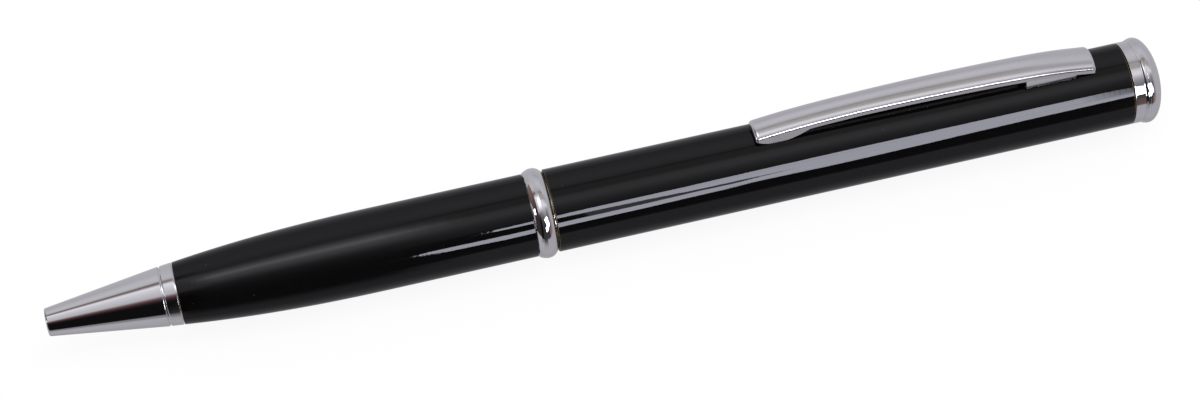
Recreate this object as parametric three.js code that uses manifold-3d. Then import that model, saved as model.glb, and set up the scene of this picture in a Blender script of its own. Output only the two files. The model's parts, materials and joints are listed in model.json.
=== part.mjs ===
// A twist ballpoint pen whose pull-off cap sheathes a small knife blade.
// Millimetres. The pen lies along X with its writing end towards -X and its pocket clip straight up.
// Inside the pen group, x is the station: the distance from the front face of the nose cone.

import * as THREE from 'three';
import { mergeVertices } from 'three/addons/utils/BufferGeometryUtils.js';
import Module from 'manifold-3d';

const wasm = await Module();
wasm.setup();

// Facets round the barrels, round the inner turned pieces and round the pins and the refill.
const BARREL_FACETS = 48;
const INNER_FACETS = 32;
const PIN_FACETS = 16;

// Clearances.
const seam = 0.1;            // between the faces of pieces that butt together
const pressGap = 0.05;       // radial, between pieces that are pressed or screwed together
const slideGap = 0.06;       // radial, between pieces that slide or turn on each other
const pinGap = 0.1;          // round the cross pin in its slots
const endFloat = 0.3;        // along the pen, round the turning collar and between the plugs
const partingGap = 0.2;      // between the centre ring and the cap, where the pen pulls apart

// Barrels.
const barrelRadius = 5.16;
const barrelWall = 0.55;
const barrelEdge = 0.12;     // rounding of the barrels' ends

// Nose cone.
const tipRadius = 1.74;
const tipLip = 0.2;
const coneLength = 14.35;
const coneEndRadius = 3.69;
const threadRadius = 2.55;
const threadLength = 5.8;

// Front bush, whose collar shows behind the nose cone.
const grooveWidth = 0.2;
const grooveDepth = 0.12;
const collarLength = 1.45;
const collarFrontRadius = 3.7;
const collarRearRadius = 3.85;
const bushLength = 5.85;

// Lower barrel.
const lowerLength = 43.7;
const lowerFrontRadius = 3.86;
const taperLength = 25.1;
const taperPower = 2.25;

// Refill.
const ballRadius = 0.35;
const ballSetBack = 1;       // how far the ball lies inside the nose when it is retracted
const travel = 4.5;          // how far the twist pushes the refill out
const writingTipLength = 3.4;
const refillRadius = 1.175;
const refillWall = 0.22;
const refillTipRadius = 1.15;
const refillTipLength = 8;
const refillCollarLength = 1.2;
const refillCollarRadius = 1.7;
const shankLength = 3;
const tailPlugLength = 1.9;

// Return spring.
const springWire = 0.28;
const springRadius = 1.47;   // to the middle of the wire
const springTurns = 11;
const springSeat = 6;
const springLength = 18;     // between its seats, with the point retracted

// Twist mechanism.
const twistAngle = Math.PI;
const rearBushLength = 7.4;
const housingWall = 0.65;
const housingLength = 11.7;
const sleeveWall = 0.75;
const sleeveLength = 18;
const sleeveSetBack = 1.3;   // from the lower barrel's rear end to the sleeve's
const sleeveCollarWidth = 1;
const sleeveCollarRadius = 4.35;
const plungerLength = 8.5;
const plungerSocket = 2;
const crossPinRadius = 0.6;
const crossPinOffset = 5;    // from the plunger's front face
const crossPinSetBack = 2.7; // from the housing's rear end

// Centre ring.
const ringWidth = 2.4;
const ringRadius = 5.63;
const ringLand = 0.5;        // the flat top of its rounded section

// Blade carrier, the spigot that the cap slides over.
const studLength = 6.5;
const spigotLength = 9.7;
const sealOffset = 1.6;      // from the ring to the groove of the rubber ring
const sealGroove = 1;
const sealDepth = 0.5;
const sealWire = 0.27;
const tangSlotDepth = 6.2;

// Blade.
const bladeWidth = 6.8;
const bladeThickness = 1.1;
const bladeEdge = 0.12;
const bladeLength = 50.5;      // from the bottom of its slot to its point
const bladeBevel = 2.5;
const bladePointLength = 14;
const tangWidth = 6.2;
const bladeHeel = 3;         // unsharpened length in front of the carrier
const bladePinRadius = 0.5;
const bladePinSpacing = 3;

// Cap.
const upperLength = 73.35;
const linerWall = 0.3;
const anchorMargin = 0.6;    // of the clip's anchor beyond the tabs, at each end

// Finial at the end of the cap.
const bandLength = 1.25;
const rimRadius = 5.41;
const rimRise = 0.9;         // from the band to the widest part of the rim
const domeHeight = 2.1;      // from there to the pen's end
const finialStudRadius = 1.5;

// Pocket clip.
const clipLength = 43.2;
const clipSetBack = 4.15;    // from the cap's rear end to the clip's root
const clipTipHalfWidth = 1.88;
const clipRootHalfWidth = 2.22;
const clipWideningStart = 0.3; // share of its length, from the tip
const clipThickness = 0.5;
const clipSeatGap = 0.1;
const crownSlope = 0.59;     // radians, at the sides of its crown, where the shoulders begin
const shoulderSlope = 1.43;  // radians, at the foot of its shoulders, where the flat sides begin
const shoulderRadius = 1;
const clipFlange = 0.33;     // height of its flat sides
const clipEndWall = 0.7;
const clipEdge = 0.25;
const bumpOffset = 3.3;      // from the clip's tip to the lowest point of its bump
const bumpFrontLength = 2.95;
const bumpRearLength = 3.6;
const bumpDepth = 0.6;       // below the flat sides
const tabOffset = 2.6;       // from the clip's root end to its tabs
const tabLength = 6.4;
const tabDepth = 1.5;        // below the barrel's surface
const tabSlotGap = 0.3;
// Height of the clip's crest above the barrel, at shares of the clip's length.
const clipRise = [
  [0, 1.4], [0.1, 1.86], [0.25, 2.24], [0.45, 2.42],
  [0.65, 2.34], [0.8, 2.12], [0.9, 1.8], [1, 1.2],
];

// Stations worked out from the lengths above.
const collarFront = coneLength + grooveWidth;
const collarRear = collarFront + collarLength;
const lowerFront = collarRear + seam;
const lowerRear = lowerFront + lowerLength;
const ringFront = lowerRear + seam;
const ringRear = ringFront + ringWidth;
const upperFront = ringRear + partingGap;
const upperRear = upperFront + upperLength;
const bandFront = upperRear + seam;
const bandRear = bandFront + bandLength;
const rimFront = bandRear + pressGap;
const penLength = rimFront + rimRise + domeHeight;

// Radii worked out from the barrel and the clearances.
const barrelBore = barrelRadius - barrelWall;
const insertRadius = barrelBore - pressGap;
const sheathBore = insertRadius - linerWall;
const spigotRadius = sheathBore - slideGap;
const mouthRadius = refillRadius + 1.25 * slideGap;
const chamberRadius = springRadius + springWire / 2 + 2 * slideGap;
const housingBore = insertRadius - housingWall;
const sleeveRadius = housingBore - 1.5 * slideGap;
const sleeveBore = sleeveRadius - sleeveWall;
const plungerRadius = sleeveBore - 1.5 * slideGap;
const refillSocketRadius = refillRadius + pressGap;

// Stations of the inner pieces: the twist mechanism from the lower barrel's rear end forwards.
const rearBushFront = lowerRear - seam - rearBushLength;
const sleeveCollarFront = rearBushFront - endFloat - sleeveCollarWidth;
const housingRear = sleeveCollarFront - endFloat;
const housingFront = housingRear - housingLength;
const sleeveRear = lowerRear - sleeveSetBack;
const sleeveFront = sleeveRear - sleeveLength;
const crossPinStation = housingRear - crossPinSetBack;
const plungerFront = crossPinStation - crossPinOffset;
const refillRear = plungerFront + plungerSocket - seam;
const refillTipFront = ballSetBack + ballRadius + 0.1;
const refillTubeFront = ballSetBack + refillTipLength;
const refillCollarFront = springSeat + springLength;

// Stations of the blade, and of what the cap holds, from its rear end forwards.
const spigotRear = ringRear + spigotLength;
const slotFloor = spigotRear - tangSlotDepth;
const tangFront = slotFloor + seam;
const bladePoint = tangFront + bladeLength;
const clipRoot = upperRear - clipSetBack;
const clipTip = clipRoot - clipLength;
const tabRear = clipRoot - tabOffset;
const tabFront = tabRear - tabLength;
const anchorFront = tabFront - anchorMargin;
const anchorRear = tabRear + anchorMargin;
const plugFront = anchorRear + endFloat;
const linerFront = upperFront + seam;
const linerRear = anchorFront - endFloat;

// Materials.
function finish(color, roughness, metalness) {
  return new THREE.MeshStandardMaterial({ color, roughness, metalness });
}

const finishes = {
  lacquer: () => finish(0x08080a, 0.12, 0.0),
  chrome: () => finish(0xc9c8cf, 0.08, 1.0),
  brass: () => finish(0xb08d4a, 0.35, 1.0),
  steel: () => finish(0xa7a9ac, 0.28, 1.0),
  nickel: () => finish(0x9c9a94, 0.25, 1.0),
  sheath: () => finish(0x2b2c2e, 0.6, 0.0),
  rubber: () => finish(0x151515, 0.8, 0.0),
};

function piece(name, finishName, geometry) {
  const mesh = new THREE.Mesh(geometry, finishes[finishName]());
  mesh.name = name;
  return mesh;
}

// A solid of revolution about X. The outline's points are [station, radius]:
// the outer side towards +X, then the bore back, or from the axis to the axis.
function turned(outline, facets) {
  const points = outline.map(([station, radius]) => new THREE.Vector2(radius, station));
  if (outline[0][1] > 0) {
    points.push(points[0].clone());
  }
  return new THREE.LatheGeometry(points, facets, Math.PI / facets).rotateZ(-Math.PI / 2);
}

// A plain tube with chamfered outer edges.
function tube(front, rear, outer, inner, edge, facets) {
  return turned([
    [front, inner],
    [front, outer - edge],
    [front + edge, outer],
    [rear - edge, outer],
    [rear, outer - edge],
    [rear, inner],
  ], facets);
}

// A plain rod with chamfered ends.
function rod(front, rear, radius, edge, facets) {
  return turned([
    [front, 0],
    [front, radius - edge],
    [front + edge, radius],
    [rear - edge, radius],
    [rear, radius - edge],
    [rear, 0],
  ], facets);
}

// A pin along Y, the full length given, at a station on the pen's axis.
function pinAcross(station, radius, length) {
  const pin = new THREE.CylinderGeometry(radius, radius, length, PIN_FACETS);
  return pin.translate(station, 0, 0);
}

// A box between two corners.
function block(low, high) {
  const size = new THREE.Vector3(...high).sub(new THREE.Vector3(...low));
  const middle = new THREE.Vector3(...high).add(new THREE.Vector3(...low)).multiplyScalar(0.5);
  const box = new THREE.BoxGeometry(size.x, size.y, size.z);
  return box.translate(middle.x, middle.y, middle.z);
}

// A solid through a row of convex sections, each a list of the same number of points.
function loft(sections) {
  const count = sections[0].length;
  const positions = sections.flat().flatMap((point) => point.toArray());
  const index = [];
  for (let row = 0; row + 1 < sections.length; row += 1) {
    for (let k = 0; k < count; k += 1) {
      const a = row * count + k;
      const b = row * count + (k + 1) % count;
      index.push(a, b, b + count, a, b + count, a + count);
    }
  }
  const last = (sections.length - 1) * count;
  for (let k = 1; k + 1 < count; k += 1) {
    index.push(0, k + 1, k, last, last + k, last + k + 1);
  }
  const geometry = new THREE.BufferGeometry();
  geometry.setAttribute('position', new THREE.Float32BufferAttribute(positions, 3));
  geometry.setIndex(signedVolume(positions, index) < 0 ? index.reverse() : index);
  geometry.computeVertexNormals();
  return geometry;
}

function signedVolume(positions, index) {
  const corner = (i) => new THREE.Vector3().fromArray(positions, 3 * i);
  let volume = 0;
  for (let i = 0; i < index.length; i += 3) {
    const [a, b, c] = [corner(index[i]), corner(index[i + 1]), corner(index[i + 2])];
    volume += a.dot(b.cross(c)) / 6;
  }
  return volume;
}

// Booleans: a geometry as a solid, and back.
function solidOf(geometry) {
  const bare = geometry.clone();
  bare.deleteAttribute('normal');
  bare.deleteAttribute('uv');
  const merged = mergeVertices(bare);
  const corners = merged.index.array;
  const faces = [];
  for (let i = 0; i < corners.length; i += 3) {
    const [a, b, c] = corners.slice(i, i + 3);
    if (a !== b && b !== c && c !== a) {
      faces.push(a, b, c);
    }
  }
  return new wasm.Manifold(new wasm.Mesh({
    numProp: 3,
    vertProperties: new Float32Array(merged.attributes.position.array),
    triVerts: new Uint32Array(faces),
  }));
}

function geometryOf(solid) {
  const mesh = solid.getMesh();
  const geometry = new THREE.BufferGeometry();
  geometry.setAttribute('position', new THREE.BufferAttribute(mesh.vertProperties, 3));
  geometry.setIndex(new THREE.BufferAttribute(mesh.triVerts, 1));
  geometry.computeVertexNormals();
  return geometry;
}

function cut(geometry, cutters) {
  const solid = cutters.reduce((rest, cutter) => rest.subtract(solidOf(cutter)), solidOf(geometry));
  return geometryOf(solid);
}

function join(geometry, additions) {
  const solid = additions.reduce((whole, added) => whole.add(solidOf(added)), solidOf(geometry));
  return geometryOf(solid);
}

// Nose cone with its screwed spigot, the refill's mouth and the spring's chamber.
function noseCone() {
  const lipRear = collarFront - pressGap;
  const threadRear = coneLength + threadLength;
  return turned([
    [0, mouthRadius],
    [0, tipRadius - tipLip],
    [0.3 * tipLip, tipRadius - 0.3 * tipLip],
    [tipLip, tipRadius],
    [coneLength, coneEndRadius],
    [coneLength, coneEndRadius - grooveDepth],
    [lipRear, coneEndRadius - grooveDepth],
    [lipRear, threadRadius],
    [threadRear - tipLip, threadRadius],
    [threadRear, threadRadius - tipLip],
    [threadRear, chamberRadius],
    [springSeat, chamberRadius],
    [springSeat, mouthRadius],
  ], BARREL_FACETS);
}

// Bush in the front of the lower barrel. Its collar is the band behind the nose cone.
function frontBush() {
  const lowerBoreFront = lowerFrontRadius - barrelWall;
  return turned([
    [collarFront, threadRadius + pressGap],
    [collarFront, collarFrontRadius - grooveDepth / 2],
    [collarFront + grooveDepth / 2, collarFrontRadius],
    [collarRear, collarRearRadius],
    [collarRear, lowerBoreFront - pressGap],
    [collarRear + bushLength, lowerBoreFront - pressGap],
    [collarRear + bushLength, threadRadius + pressGap],
  ], BARREL_FACETS);
}

// Radius of the lower barrel's outside: it swells from the front and then runs straight.
function lowerRadiusAt(station) {
  const left = Math.max(0, 1 - (station - lowerFront) / taperLength);
  return barrelRadius - (barrelRadius - lowerFrontRadius) * left ** taperPower;
}

function lowerBarrel() {
  const steps = 9;
  const taper = Array.from({ length: steps }, (_, k) => lowerFront + (k / (steps - 1)) * taperLength);
  const outside = taper.map((station) => [station, lowerRadiusAt(station)]);
  const inside = taper.filter((_, k) => k % 2 === 0).reverse();
  return turned([
    [lowerFront, lowerFrontRadius - barrelWall],
    ...outside,
    [lowerRear - barrelEdge, barrelRadius],
    [lowerRear, barrelRadius - barrelEdge],
    [lowerRear, barrelBore],
    ...inside.slice(0, -1).map((station) => [station, lowerRadiusAt(station) - barrelWall]),
  ], BARREL_FACETS);
}

// Fixed tube with two straight slots that keep the cross pin from turning.
function mechanismHousing() {
  const halfSlot = crossPinRadius + pinGap;
  const slot = block(
    [crossPinStation - travel - halfSlot, -barrelRadius, -halfSlot],
    [crossPinStation + halfSlot, barrelRadius, halfSlot],
  );
  const body = tube(housingFront, housingRear, insertRadius, housingBore, barrelEdge, INNER_FACETS);
  return cut(body, [slot]);
}

// Bush in the rear of the lower barrel. It keeps the cam sleeve's collar against the housing.
function rearBush() {
  const rear = lowerRear - seam;
  return tube(rearBushFront, rear, insertRadius, housingBore, barrelEdge, INNER_FACETS);
}

// Brass writing tip with the ball's socket in front and a shank in the tube.
function refillTip() {
  const socketRadius = ballRadius + 0.03;
  const socketFloor = ballSetBack + 2 * ballRadius + 0.05;
  const shankRadius = refillRadius - refillWall - pressGap;
  return turned([
    [socketFloor, 0],
    [socketFloor, socketRadius],
    [refillTipFront, socketRadius],
    [refillTipFront, socketRadius + 0.06],
    [refillTipFront + writingTipLength, refillTipRadius],
    [refillTubeFront - seam, refillTipRadius],
    [refillTubeFront - seam, shankRadius],
    [refillTubeFront + shankLength, shankRadius],
    [refillTubeFront + shankLength, 0],
  ], PIN_FACETS);
}

function refillBall() {
  const ball = new THREE.SphereGeometry(ballRadius, 12, 8);
  return ball.translate(ballSetBack + ballRadius, 0, 0);
}

function refillTube() {
  return tube(refillTubeFront, refillRear, refillRadius, refillRadius - refillWall, 0, PIN_FACETS);
}

function refillTailPlug() {
  const radius = refillRadius - refillWall - pressGap;
  return rod(refillRear - tailPlugLength, refillRear, radius, radius / 4, PIN_FACETS);
}

function refillCollar() {
  const rear = refillCollarFront + refillCollarLength;
  const edge = refillCollarLength / 8;
  return tube(refillCollarFront, rear, refillCollarRadius, refillSocketRadius, edge, PIN_FACETS);
}

// Return spring round the refill, between the nose cone's shoulder and the refill's collar.
class SpringLine extends THREE.Curve {
  getPoint(t, target = new THREE.Vector3()) {
    const front = springSeat + seam / 2 + springWire / 2;
    const rear = refillCollarFront - seam / 2 - springWire / 2;
    const angle = t * springTurns * 2 * Math.PI;
    const station = front + t * (rear - front);
    return target.set(station, springRadius * Math.cos(angle), springRadius * Math.sin(angle));
  }
}

function returnSpring() {
  const stepsPerTurn = 8;
  const wireSides = 5;
  const wire = new THREE.Shape();
  for (let k = 0; k < wireSides; k += 1) {
    const angle = (k * 2 * Math.PI) / wireSides;
    const [u, v] = [Math.cos(angle), Math.sin(angle)].map((share) => (share * springWire) / 2);
    if (k === 0) {
      wire.moveTo(u, v);
    } else {
      wire.lineTo(u, v);
    }
  }
  return new THREE.ExtrudeGeometry(wire, {
    steps: springTurns * stepsPerTurn,
    extrudePath: new SpringLine(),
  });
}

// Plunger that pushes the refill, with its socket in front and the hole for the cross pin.
function plunger() {
  const rear = plungerFront + plungerLength;
  const body = turned([
    [plungerFront + plungerSocket, 0],
    [plungerFront + plungerSocket, refillSocketRadius],
    [plungerFront, refillSocketRadius],
    [plungerFront, plungerRadius - barrelEdge],
    [plungerFront + barrelEdge, plungerRadius],
    [rear - barrelEdge, plungerRadius],
    [rear, plungerRadius - barrelEdge],
    [rear, 0],
  ], INNER_FACETS);
  return cut(body, [pinAcross(crossPinStation, crossPinRadius + pressGap, 2 * barrelRadius)]);
}

function crossPin() {
  return pinAcross(crossPinStation, crossPinRadius, 2 * (insertRadius - pinGap));
}

// Cutter for one spiral slot. It starts round the cross pin at rest, on the side given by an angle
// about X from +Y, and follows the pin as the sleeve turns by the twist angle.
function spiralCutter(startAngle) {
  const steps = 16;
  const pitch = travel / twistAngle;
  const lead = (crossPinRadius + pinGap) / sleeveBore;
  const halfWidth = crossPinRadius * Math.hypot(1, pitch / sleeveBore) + pinGap;
  const inner = sleeveBore - crossPinRadius;
  const outer = sleeveRadius + crossPinRadius;
  const sections = [];
  for (let k = 0; k <= steps; k += 1) {
    const turn = -lead + (k / steps) * (twistAngle + 2 * lead);
    const angle = startAngle - turn;
    const middle = crossPinStation - pitch * turn;
    const at = (station, radius) => (
      new THREE.Vector3(station, radius * Math.cos(angle), radius * Math.sin(angle))
    );
    sections.push([
      at(middle - halfWidth, inner),
      at(middle - halfWidth, outer),
      at(middle + halfWidth, outer),
      at(middle + halfWidth, inner),
    ]);
  }
  return loft(sections);
}

// Sleeve that turns with the blade carrier. Its spiral slots drive the cross pin along the pen.
function camSleeve() {
  const collarEnd = sleeveCollarFront + sleeveCollarWidth;
  const body = turned([
    [sleeveFront, sleeveBore],
    [sleeveFront, sleeveRadius],
    [sleeveCollarFront, sleeveRadius],
    [sleeveCollarFront, sleeveCollarRadius],
    [collarEnd, sleeveCollarRadius],
    [collarEnd, sleeveRadius],
    [sleeveRear, sleeveRadius],
    [sleeveRear, sleeveBore],
  ], INNER_FACETS);
  return cut(body, [spiralCutter(0), spiralCutter(Math.PI)]);
}

// Ring with a rounded section that parts the two halves of the pen.
function centreRing() {
  const bore = spigotRadius + pressGap;
  const middle = (ringFront + ringRear) / 2;
  const halfLand = ringLand / 2;
  const reach = ringWidth / 2 - halfLand;
  const rise = ringRadius - barrelBore - barrelWall / 2;
  const arcSteps = 4;
  const arc = Array.from({ length: arcSteps + 1 }, (_, k) => (k / arcSteps) * (Math.PI / 2));
  const front = arc.map((a) => [
    middle - halfLand - reach * Math.cos(a),
    ringRadius - rise * (1 - Math.sin(a)),
  ]);
  const rear = front.map(([station, radius]) => [2 * middle - station, radius]).reverse();
  return turned([[ringFront, bore], ...front, ...rear, [ringRear, bore]], BARREL_FACETS);
}

// Blade carrier: a stud in the cam sleeve, a seat for the ring and a split spigot for the blade.
function bladeCarrier() {
  const front = ringFront - seam / 2;
  const grooveFront = ringRear + sealOffset;
  const grooveRear = grooveFront + sealGroove;
  const studRadius = sleeveBore - pressGap;
  const body = turned([
    [front - studLength, 0],
    [front - studLength, studRadius - barrelEdge],
    [front - studLength + barrelEdge, studRadius],
    [front, studRadius],
    [front, spigotRadius],
    [grooveFront, spigotRadius],
    [grooveFront, spigotRadius - sealDepth],
    [grooveRear, spigotRadius - sealDepth],
    [grooveRear, spigotRadius],
    [spigotRear - 2 * barrelEdge, spigotRadius],
    [spigotRear, spigotRadius - 2 * barrelEdge],
    [spigotRear, 0],
  ], BARREL_FACETS);
  const halfSlot = bladeThickness / 2 + slideGap;
  const slot = block([slotFloor, -halfSlot, -barrelRadius], [spigotRear + seam, halfSlot, barrelRadius]);
  const holes = bladePinStations().map((station) => (
    pinAcross(station, bladePinRadius + pressGap, 2 * barrelRadius)
  ));
  return cut(body, [slot, ...holes]);
}

// Rubber ring in the carrier's groove. It grips the inside of the cap.
function gripRing() {
  const sides = 8;
  const centre = ringRear + sealOffset + sealGroove / 2;
  const radius = sheathBore - slideGap / 3 - sealWire;
  const outline = Array.from({ length: sides }, (_, k) => {
    const angle = Math.PI - (k * 2 * Math.PI) / sides;
    return [centre + sealWire * Math.cos(angle), radius + sealWire * Math.sin(angle)];
  });
  return turned(outline, BARREL_FACETS);
}

function bladePinStations() {
  const first = slotFloor + (tangSlotDepth - bladePinSpacing) / 2;
  return [first, first + bladePinSpacing];
}

// Single-edged blade. Its flats face sideways, its spine is under the clip and its edge is below.
function blade() {
  const half = bladeThickness / 2;
  const thin = bladeEdge / 2;
  const spine = bladeWidth / 2;
  const section = (station, top, shoulder, bottom, edge) => [
    [half, top],
    [half, shoulder],
    [edge, bottom],
    [-edge, bottom],
    [-half, shoulder],
    [-half, top],
  ].map(([y, z]) => new THREE.Vector3(station, y, z));
  const pointFront = bladePoint - bladePointLength;
  const sections = [
    section(tangFront, tangWidth / 2, bladeBevel - spine, -tangWidth / 2, half),
    section(spigotRear, tangWidth / 2, bladeBevel - spine, -tangWidth / 2, half),
    section(spigotRear + seam, spine, bladeBevel - spine, -spine, half),
    section(spigotRear + bladeHeel, spine, bladeBevel - spine, -spine, half),
    section(spigotRear + bladeHeel + bladeThickness, spine, bladeBevel - spine, -spine, thin),
    section(pointFront, spine, bladeBevel - spine, -spine, thin),
  ];
  const steps = 5;
  for (let k = 1; k <= steps; k += 1) {
    const share = k / steps;
    const top = spine * (1 - 0.25 * share ** 2);
    const bottom = THREE.MathUtils.lerp(-spine, top - 2 * thin, 1 - Math.sqrt(1 - 0.98 * share ** 2));
    const shoulder = Math.min(bottom + bladeBevel, top - thin);
    sections.push(section(pointFront + share * bladePointLength, top, shoulder, bottom, thin));
  }
  const holes = bladePinStations().map((station) => (
    pinAcross(station, bladePinRadius + pressGap, 2 * bladeThickness)
  ));
  return cut(loft(sections), holes);
}

function bladePin(station) {
  return pinAcross(station, bladePinRadius, 2 * (spigotRadius - seam));
}

// Where the clip's tabs pass through the barrel's wall, widened by the clearances.
function tabBlocks(gapAlong, gapAcross, bottom, top) {
  const outer = clipHalfWidthAt((tabFront + tabRear) / 2);
  const inner = outer - clipThickness;
  return [-1, 1].map((side) => {
    const edges = [side * (inner - gapAcross), side * (outer + gapAcross)].sort((a, b) => a - b);
    return block([tabFront - gapAlong, edges[0], bottom], [tabRear + gapAlong, edges[1], top]);
  });
}

function upperBarrel() {
  const body = tube(upperFront, upperRear, barrelRadius, barrelBore, barrelEdge, BARREL_FACETS);
  return cut(body, tabBlocks(tabSlotGap, tabSlotGap / 2, 0, 2 * barrelRadius));
}

// Plastic sheath inside the cap, round the blade.
function capLiner() {
  return tube(linerFront, linerRear, insertRadius, sheathBore, 0, BARREL_FACETS);
}

// Plug that holds the clip's tabs from inside the cap.
function clipAnchor() {
  const body = rod(anchorFront, anchorRear, insertRadius, barrelEdge, INNER_FACETS);
  const depth = barrelSurfaceAt(clipRootHalfWidth) - tabDepth - tabSlotGap;
  return cut(body, tabBlocks(tabSlotGap, tabSlotGap / 2, depth, 2 * barrelRadius));
}

// Plug in the end of the cap that the finial screws into.
function endPlug() {
  const bore = finialStudRadius + pressGap;
  return tube(plugFront, upperRear - seam / 2, insertRadius, bore, barrelEdge, INNER_FACETS);
}

function finialBand() {
  const bore = finialStudRadius + pressGap;
  return tube(bandFront, bandRear, barrelRadius, bore, barrelEdge / 4, BARREL_FACETS);
}

// Finial: a flared rim and a low dome, on a stud through the band.
function finialCap() {
  const rimWidest = rimFront + rimRise;
  const flare = rimRadius - barrelRadius;
  const domeSteps = 6;
  const dome = Array.from({ length: domeSteps }, (_, k) => {
    const angle = (k / domeSteps) * (Math.PI / 2);
    return [rimWidest + domeHeight * Math.sin(angle), rimRadius * Math.cos(angle)];
  });
  return turned([
    [plugFront + seam, 0],
    [plugFront + seam, finialStudRadius - barrelEdge],
    [plugFront + seam + barrelEdge, finialStudRadius],
    [rimFront, finialStudRadius],
    [rimFront, barrelRadius],
    [rimFront + 0.12 * rimRise, barrelRadius + 0.08 * flare],
    [rimFront + 0.3 * rimRise, barrelRadius + 0.48 * flare],
    [rimFront + 0.6 * rimRise, barrelRadius + 0.84 * flare],
    ...dome,
    [penLength, 0],
  ], BARREL_FACETS);
}

// Height of the barrel's surface above the axis, at a distance to the side of the clip's middle.
function barrelSurfaceAt(side) {
  return Math.sqrt(barrelRadius ** 2 - side ** 2);
}

function clipHalfWidthAt(station) {
  const share = (station - clipTip) / clipLength;
  const widening = Math.max(0, share - clipWideningStart) / (1 - clipWideningStart);
  return THREE.MathUtils.lerp(clipTipHalfWidth, clipRootHalfWidth, widening);
}

const clipRiseCurve = new THREE.CubicInterpolant(
  new Float32Array(clipRise.map(([share]) => share)),
  new Float32Array(clipRise.map(([, rise]) => rise)),
  1,
);

// Height of the clip's crest above the pen's axis.
function clipTopAt(station) {
  const share = THREE.MathUtils.clamp((station - clipTip) / clipLength, 0, 1);
  return barrelRadius + clipRiseCurve.evaluate(share)[0];
}

// Points down one side of the clip's arch, from its crest, as [side, drop]: a crown, then a tighter
// shoulder. The inset gives the arch inside the sheet.
function clipArch(half, inset) {
  const shoulder = shoulderRadius * (Math.sin(shoulderSlope) - Math.sin(crownSlope));
  const crown = (half - shoulder) / Math.sin(crownSlope) - inset;
  const tight = shoulderRadius - inset;
  const onCrown = (slope) => [crown * Math.sin(slope), inset + crown * (1 - Math.cos(slope))];
  const [side, drop] = onCrown(crownSlope);
  const onShoulder = (slope) => [
    side + tight * (Math.sin(slope) - Math.sin(crownSlope)),
    drop + tight * (Math.cos(crownSlope) - Math.cos(slope)),
  ];
  const middle = (crownSlope + shoulderSlope) / 2;
  return [
    onCrown(0),
    onCrown(crownSlope / 2),
    onCrown(crownSlope),
    onShoulder(middle),
    onShoulder(shoulderSlope),
  ];
}

function clipArchDrop(half) {
  return clipArch(half, 0).at(-1)[1];
}

// How far a point beside the clip's flat side leans out, at a depth below the shoulder.
function clipLean(depth) {
  return depth / Math.tan(shoulderSlope);
}

// Lower edge of the clip's sides, with a rounded bump near the tip that presses on the pocket.
function clipBottomAt(station) {
  const plain = clipTopAt(station) - clipArchDrop(clipHalfWidthAt(station)) - clipFlange;
  const past = station - clipTip - bumpOffset;
  const away = past / (past < 0 ? bumpFrontLength : bumpRearLength);
  return plain - bumpDepth * Math.max(0, 1 - away ** 2);
}

// A section from the points of its half, from the crest to the foot, and their mirror image.
function mirroredSection(station, half) {
  const near = half.slice(1).reverse().map(([side, height]) => [-side, height]);
  return [...near, ...half].reverse().map(([y, z]) => new THREE.Vector3(station, y, z));
}

// Outer section of the clip: an arch and flat sides that lean out a little.
function clipOuterSection(station, narrowing, lowering) {
  const half = clipHalfWidthAt(station) - narrowing;
  const top = clipTopAt(station) - lowering;
  const bottom = clipBottomAt(station);
  const arch = clipArch(half, 0).map(([side, drop]) => [side, top - drop]);
  const foot = [half + clipLean(arch.at(-1)[1] - bottom), bottom];
  return mirroredSection(station, [...arch, foot]);
}

// Section of the channel under the clip's arch.
function clipChannelSection(station) {
  const top = clipTopAt(station);
  const arch = clipArch(clipHalfWidthAt(station), clipThickness).map(([side, drop]) => [side, top - drop]);
  return mirroredSection(station, [...arch, [arch.at(-1)[0], -barrelRadius]]);
}

// Stations along the clip: close together over the bump, wide apart along the rest.
function clipStations(front, rear) {
  const bumpRear = clipTip + bumpOffset + bumpRearLength;
  const stations = [];
  for (let k = 0; k < 8; k += 1) {
    stations.push(THREE.MathUtils.lerp(front, bumpRear, k / 8));
  }
  for (let k = 0; k <= 10; k += 1) {
    stations.push(THREE.MathUtils.lerp(bumpRear, rear, k / 10));
  }
  return stations;
}

// Pocket clip: a bent channel of sheet metal with two tabs that enter the barrel.
function pocketClip() {
  const inner = clipStations(clipTip + clipEdge, clipRoot - clipEdge);
  const outer = loft([
    clipOuterSection(clipTip, clipEdge / 3, clipEdge),
    ...inner.map((station) => clipOuterSection(station, 0, 0)),
    clipOuterSection(clipRoot, clipEdge, clipEdge / 2),
  ]);
  const channel = loft(
    clipStations(clipTip + clipEndWall, clipRoot - clipEndWall).map(clipChannelSection),
  );
  const barrelSpace = rod(0, penLength, barrelRadius + clipSeatGap, 0, BARREL_FACETS);
  const bottom = barrelSurfaceAt(clipRootHalfWidth) - tabDepth;
  const tabMiddle = (tabFront + tabRear) / 2;
  const top = clipTopAt(tabMiddle) - clipArchDrop(clipHalfWidthAt(tabMiddle)) - clipFlange / 2;
  return join(cut(outer, [channel, barrelSpace]), tabBlocks(0, 0, bottom, top));
}

// Groups, one for each part of the pen that moves.
const lowerHalf = new THREE.Group().add(
  piece('front_bush', 'chrome', frontBush()),
  piece('lower_barrel', 'lacquer', lowerBarrel()),
  piece('mechanism_housing', 'brass', mechanismHousing()),
  piece('rear_bush', 'brass', rearBush()),
  piece('return_spring', 'steel', returnSpring()),
);

const nose = new THREE.Group().add(piece('nose_cone', 'chrome', noseCone()));

const refill = new THREE.Group().add(
  piece('refill_ball', 'steel', refillBall()),
  piece('refill_tip', 'brass', refillTip()),
  piece('refill_tube', 'nickel', refillTube()),
  piece('refill_tail_plug', 'sheath', refillTailPlug()),
  piece('refill_collar', 'brass', refillCollar()),
  piece('plunger', 'sheath', plunger()),
  piece('cross_pin', 'steel', crossPin()),
);

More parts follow.
